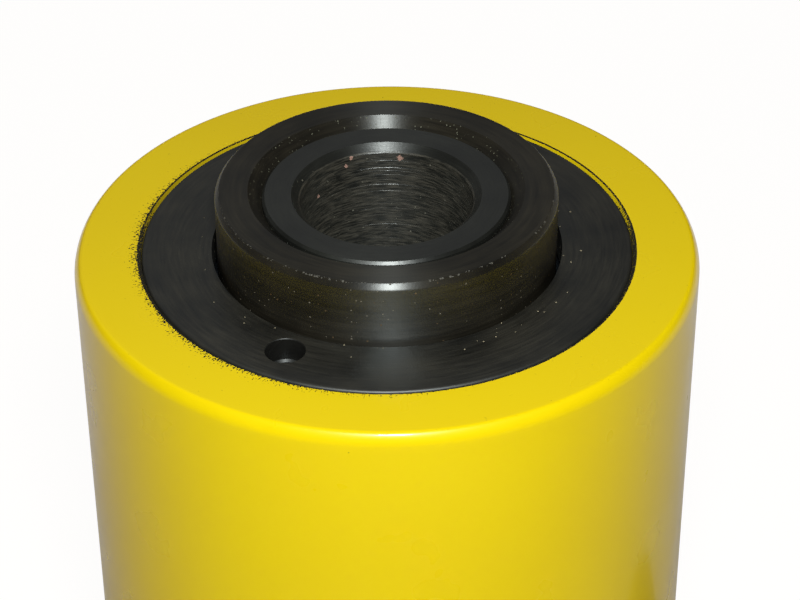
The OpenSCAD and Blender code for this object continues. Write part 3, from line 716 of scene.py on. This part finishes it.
def makeSaddle(size):
    low, high = (corner.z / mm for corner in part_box("hollow_saddle"))
    bore, outside, bevel, edge = size["bore"], size["outside"], size["bevel"], size["edge"]
    outline = [
        (bore + bevel, low), (outside - edge, low), (outside, low + edge), (outside, high - edge),
        (outside - edge, high), (bore + bevel, high), (bore, high - bevel)]
    pick = random.Random(size["seed"])
    marks = []
    depth = bevel + size["feed"]
    while depth < high - low - bevel - size["feed"]:
        marks.append((depth, size["ridge"] * pick.random()))
        depth += size["feed"] * pick.uniform(*size["uneven"])
    deep = size["scores"]
    marks = [mark for mark in marks if min(abs(mark[0] - place) for place in deep) > size["scoreRoom"]]
    for depth, cutIn in sorted(marks + list(deep.items())):
        half = size["scoreHalf"] if cutIn in deep.values() else size["ridgeHalf"] * size["feed"]
        outline += [(bore, high - depth + half), (bore + cutIn, high - depth), (bore, high - depth - half)]
    outline.append((bore, low + bevel))
    saddle = asPiece("saddle", turned(outline, size["sides"]), oxides["saddle"], edge=20)
    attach(saddle, "plunger")
    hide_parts("hollow_saddle")


makeSaddle(saddleSize)

# gland ring: turned ring with two drilled spanner holes across from each other, faint drill marks down their
# walls; sizes in mm, wiper and guide grooves as radius and width
glandSize = dict(bore=31.3, mouth=32.0, mouthDepth=6.2, wiper=(33.8, 5.0), land=2.5, guide=(33.4, 5.5),
                 edge=0.5, lead=1.0, sides=256, circle=37.2, angle=241.5, hole=3.5, holeDepth=4.8,
                 holeSides=64, rim=0.12, corner=0.4, feed=0.62, ridge=0.05, over=1.0)


def makeGlandRing(size):
    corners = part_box("gland_ring")
    low, high, outside = corners[0].z / mm, corners[1].z / mm, corners[1].x / mm
    mouth, bore, edge, lead = size["mouth"], size["bore"], size["edge"], size["lead"]
    wiper, wiperWide = size["wiper"]
    guide, guideWide = size["guide"]
    wiperTop = high - size["mouthDepth"]
    wiperLow = wiperTop - wiperWide
    guideTop = wiperLow - size["land"]
    guideLow = guideTop - guideWide
    outline = [(bore, low), (outside - lead, low), (outside, low + lead)]
    outline += arc(outside - edge, high - edge, edge, start=0, stop=91, step=18)
    outline += [
        (mouth, high), (mouth, wiperTop), (wiper, wiperTop), (wiper, wiperLow), (bore, wiperLow),
        (bore, guideTop), (guide, guideTop), (guide, guideLow), (bore, guideLow)]
    blank = asPiece("gland_blank", turned(outline, size["sides"]), oxides["ring"])
    hole, rim, corner, over = size["hole"], size["rim"], size["corner"], size["over"]
    floor = high - size["holeDepth"]
    drill = [(0, high + over), (hole + rim + over, high + over), (hole, high - rim)]
    step = high - 2 * rim
    while step > floor + corner + size["feed"]:
        drill += [(hole, step), (hole + size["ridge"], step - size["feed"] / 2)]
        step -= size["feed"]
    drill += [(hole, floor + corner), (hole - corner, floor), (0, floor)]
    cutters = []
    for half in (0, 180):
        angle = math.radians(size["angle"] + half)
        spot = (size["circle"] * math.cos(angle) * mm, size["circle"] * math.sin(angle) * mm, 0)
        mesh = turned(drill, size["holeSides"])
        mesh.transform(Matrix.Translation(spot))
        cutters.append(asPiece("drill", mesh, oxides["hole"]))
    finished = cutOut("gland_ring_drilled", blank, cutters, None)
    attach(finished, "cylinder")
    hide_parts("gland_ring")


makeGlandRing(glandSize)


# outline of a soft outer edge, from the wall up to the face: each round is a radius, two leans in degrees
# and a step
def softEdge(rounds, outside, top):
    rise = 0
    for radius, start, stop, step in rounds:
        rise += radius * (math.cos(math.radians(stop)) - math.cos(math.radians(start)))
    place = Vector((outside, top - rise))
    points = []
    for radius, start, stop, step in rounds:
        lean = math.radians(start)
        middle = place - radius * Vector((math.sin(lean), math.cos(lean)))
        for angle in range(start, stop - 1, -step):
            lean = math.radians(angle)
            points.append(tuple(middle + radius * Vector((math.sin(lean), math.cos(lean)))))
        place = Vector(points.pop())
    return points + [tuple(place)]


# plunger and piston in one: turned, with the worn top edge a little rounded and grooves for the seals;
# sizes in mm, foot as radius and two heights, seal and guide grooves as two radii and two heights
plungerSize = dict(outside=31.0, bore=22.5, mouth=2.5, wallRun=0.4,
                   rounds=((0.7, 90, 54, 4), (9.4, 54, 48, 2), (0.25, 48, 0, 16)),
                   foot=(33.0, 34.0, 36.0), piston=43.7, pistonTop=56.0, bevel=1.0, root=2.0,
                   seal=(27.0, 37.8, 39.0, 46.0), guide=(24.4, 41.6, 48.5, 53.5), sides=256)


def makePlunger(size):
    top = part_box("plunger")[1].z / mm
    outside, bore, mouth = size["outside"], size["bore"], size["mouth"]
    footR, footLow, footTop = size["foot"]
    piston, pistonTop, bevel, root = size["piston"], size["pistonTop"], size["bevel"], size["root"]
    sealIn, sealOut, sealLow, sealTop = size["seal"]
    guideIn, guideOut, guideLow, guideTop = size["guide"]
    outline = [
        (bore, footLow), (footR, footLow), (footR, footTop), (piston - bevel, footTop),
        (piston, footTop + bevel), (piston, sealLow), (sealOut, sealLow), (sealOut, sealTop),
        (piston, sealTop), (piston, guideLow), (guideOut, guideLow), (guideOut, guideTop),
        (piston, guideTop), (piston, pistonTop - bevel), (piston - bevel, pistonTop)]
    outline += arc(outside + root, pistonTop + root, root, start=270, stop=179, step=-15)
    edge = softEdge(size["rounds"], outside, top)
    outline += [(outside, edge[0][1] - size["wallRun"])] + edge + [
        (bore + mouth, top), (bore, top - mouth), (bore, guideTop), (guideIn, guideTop), (guideIn, guideLow),
        (bore, guideLow), (bore, sealTop), (sealIn, sealTop), (sealIn, sealLow), (bore, sealLow)]
    plunger = asPiece("plunger_turned", turned(outline, size["sides"]), oxides["plunger"])
    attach(plunger, "plunger")
    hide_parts("plunger")


makePlunger(plungerSize)

# body: turned with a soft top edge of two radii, drilled for the oil port, tapped for the base bolts;
# sizes in mm, groove as radius and two heights, drills as radius and depth, over is how far they stand out
bodySize = dict(outside=57.0, bevel=1.5, rounds=((3.6, 90, 50, 5), (1.0, 50, 0, 10)), wallRun=0.4,
                faceRun=0.3, seat=44.8, seatBevel=0.6, seatFloor=135.0, relief=(0.5, 2.5), bore=44.0,
                floor=34.0, tubeSeat=22.05, groove=(25.1, 18.0, 24.0), shelf=12.0, centre=16.5, sides=256,
                spot=(17.0, 54.006), port=(8.2, 41.006), passage=(2.5, 38.006), portOver=3.0, portSides=96,
                passageSides=48, boltCircle=46.0, tap=(4.25, 20.0, 2.55), tapMouth=(1.2, 0.2), tapSides=64,
                over=1.0, thread=(0.7, 1.5), threadFrom=-2.0, threadLeft=3.0)


def makeBody(size):
    top = topZ / mm
    paint = finishes["yellow_enamel"]
    outside, bevel, over = size["outside"], size["bevel"], size["over"]
    seat, seatBevel, seatFloor = size["seat"], size["seatBevel"], size["seatFloor"]
    bore, floor, tube = size["bore"], size["floor"], size["tubeSeat"]
    centre, shelf = size["centre"], size["shelf"]
    edge = softEdge(size["rounds"], outside, top)
    wide, tall = size["relief"]
    ringR, ringLow, ringHigh = size["groove"]
    outline = [(outside - bevel, 0), (outside, bevel), (outside, edge[0][1] - size["wallRun"])] + edge + [
        (edge[-1][0] - size["faceRun"], top), (seat + seatBevel, top), (seat, top - seatBevel),
        (seat, seatFloor + tall), (seat + wide, seatFloor + tall), (seat + wide, seatFloor),
        (bore, seatFloor), (bore, floor), (tube, floor), (tube, ringHigh), (ringR, ringHigh),
        (ringR, ringLow), (tube, ringLow),
        (tube, shelf), (centre, shelf), (centre, bevel), (centre + bevel, 0)]
    blank = asPiece("body_blank", turned(outline, size["sides"]), paint)
    cutters = []
    end = outside + size["portOver"]
    for radius, deep in (size["spot"], size["port"], size["passage"]):
        plug = turned([(0, deep), (radius, deep), (radius, end), (0, end)], size["portSides"])
        plug.transform(alongPort)
        cutters.append(asPiece("port_drill", plug, paint))
    radius, across = size["passage"]
    start, end = portZ / mm, floor + over
    plug = turned([(0, start), (radius, start), (radius, end), (0, end)], size["passageSides"])
    plug.transform(Matrix.Translation((across * mm, 0, 0)))
    cutters.append(asPiece("passage_drill", plug, paint))
    radius, deep, point = size["tap"]
    wider, mouth = size["tapMouth"]
    cut, pitch = size["thread"]
    drill = [(0, -over), (radius + wider, -over), (radius, mouth), (radius, deep), (0, deep + point)]
    for side in (1, -1):
        spot = (0, side * size["boltCircle"])
        plug = turned(drill, size["tapSides"])
        plug.transform(Matrix.Translation((0, spot[1] * mm, 0)))
        cutters.append(asPiece("bolt_drill", plug, paint))
        cutters.append(threadCutter(
            radius, cut, pitch, size["threadFrom"], deep - size["threadLeft"], paint, spot))
    body = cutOut("body_painted", blank, cutters, paint)
    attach(body, "cylinder")
    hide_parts("cylinder_body")


makeBody(bodySize)
print("saddle bored, gland ring drilled, plunger and body turned")

# coupler sleeve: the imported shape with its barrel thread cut, places in mm along the port
sleeveSize = dict(crest=14.0, depth=0.6, pitch=2.0, low=90.0, high=115.0, weld=0.001)


def makeSleeve(size):
    mesh = nodes["coupler_sleeve"].data.copy()
    shape = bmesh.new()
    shape.from_mesh(mesh)
    bmesh.ops.remove_doubles(shape, verts=shape.verts, dist=size["weld"] * mm)
    shape.to_mesh(mesh)
    shape.free()
    mesh.attributes.remove(mesh.attributes["custom_normal"])  # stored for loose triangles, wrong once merged
    zinc = finishes["zinc_plated_steel"]
    blank = asPiece("sleeve_blank", mesh, zinc)
    cutter = threadCutter(size["crest"], size["depth"], size["pitch"], size["low"], size["high"], zinc)
    cutter.data.transform(alongPort)
    finished = cutOut("coupler_sleeve_threaded", blank, [cutter], zinc, edge=20)
    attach(finished, "cylinder")
    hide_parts("coupler_sleeve")


makeSleeve(sleeveSize)


# round-ended ribs set evenly about Z
def makeRibTree(sides=16):
    tree, given = newTree("grip ribs", {
        "Count": "Int", "Circle": "Float", "Radius": "Float", "Length": "Float", "Middle": "Float",
        "Finish": "Material"})
    ring = addNode(tree, "GeometryNodeMeshCircle", {"Vertices": given["Count"], "Radius": given["Circle"]})
    straight = addNode(tree, "GeometryNodeMeshCylinder", {
        "Vertices": sides, "Radius": given["Radius"], "Depth": given["Length"]})
    ball = addNode(tree, "GeometryNodeMeshUVSphere", {
        "Segments": sides, "Rings": sides // 2, "Radius": given["Radius"]})
    rib = addNode(tree, "GeometryNodeJoinGeometry")
    tree.links.new(straight.outputs[0], rib.inputs[0])
    for share in (0.5, -0.5):  # a ball at each end
        reach = calc(tree, "MULTIPLY", given["Length"], share)
        end = addNode(tree, "GeometryNodeTransform", {
            "Geometry": ball, "Translation": addNode(tree, "ShaderNodeCombineXYZ", {2: reach})})
        tree.links.new(end.outputs[0], rib.inputs[0])
    ribs = addNode(tree, "GeometryNodeInstanceOnPoints", {"Points": ring, "Instance": rib})
    ribs = addNode(tree, "GeometryNodeTransform", {
        "Geometry": ribs, "Translation": addNode(tree, "ShaderNodeCombineXYZ", {2: given["Middle"]})})
    ribs = addNode(tree, "GeometryNodeRealizeInstances", {"Geometry": ribs})
    ribs = addNode(tree, "GeometryNodeSetMaterial", {"Geometry": ribs, "Material": given["Finish"]})
    addNode(tree, "NodeGroupOutput", {0: ribs})
    return tree


# dust cap: moulded, round-ended grip ribs, pushed on; places in mm along the port
capSize = dict(start=89.006, floor=115.906, end=119.906, inside=14.35, outside=17.05, lip=0.4, corner=2.5,
               sides=128, ribs=20, ribCircle=16.85, ribRadius=1.0, ribFrom=91.006, ribTo=113.006)


def makeCap(size):
    plastic = finishes["cap_plastic"]
    start, floor, end, inside = size["start"], size["floor"], size["end"], size["inside"]
    outside, lip, corner = size["outside"], size["lip"], size["corner"]
    outline = [(0, floor), (inside, floor), (inside, start), (outside - lip, start), (outside, start + lip)]
    outline += arc(outside - corner, end - corner, corner, start=0, stop=91, step=10) + [(0, end)]
    shell = turned(outline, size["sides"])
    length = size["ribTo"] - size["ribFrom"] - 2 * size["ribRadius"]
    ribs = grow(makeRibTree(), {
        "Count": size["ribs"], "Circle": size["ribCircle"] * mm, "Radius": size["ribRadius"] * mm,
        "Length": length * mm, "Middle": (size["ribFrom"] + size["ribTo"]) / 2 * mm, "Finish": plastic})
    shape = bmesh.new()
    shape.from_mesh(shell)
    shape.from_mesh(ribs)
    shape.to_mesh(shell)
    shape.free()
    shell.transform(alongPort)
    cap = asPiece("dust_cap_ribbed", shell, plastic, edge=40)
    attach(cap, "dust_cap")
    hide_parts("dust_cap")


makeCap(capSize)
print("coupler sleeve threaded, dust cap ribbed")

bpy.context.scene.view_settings.view_transform = "Standard"
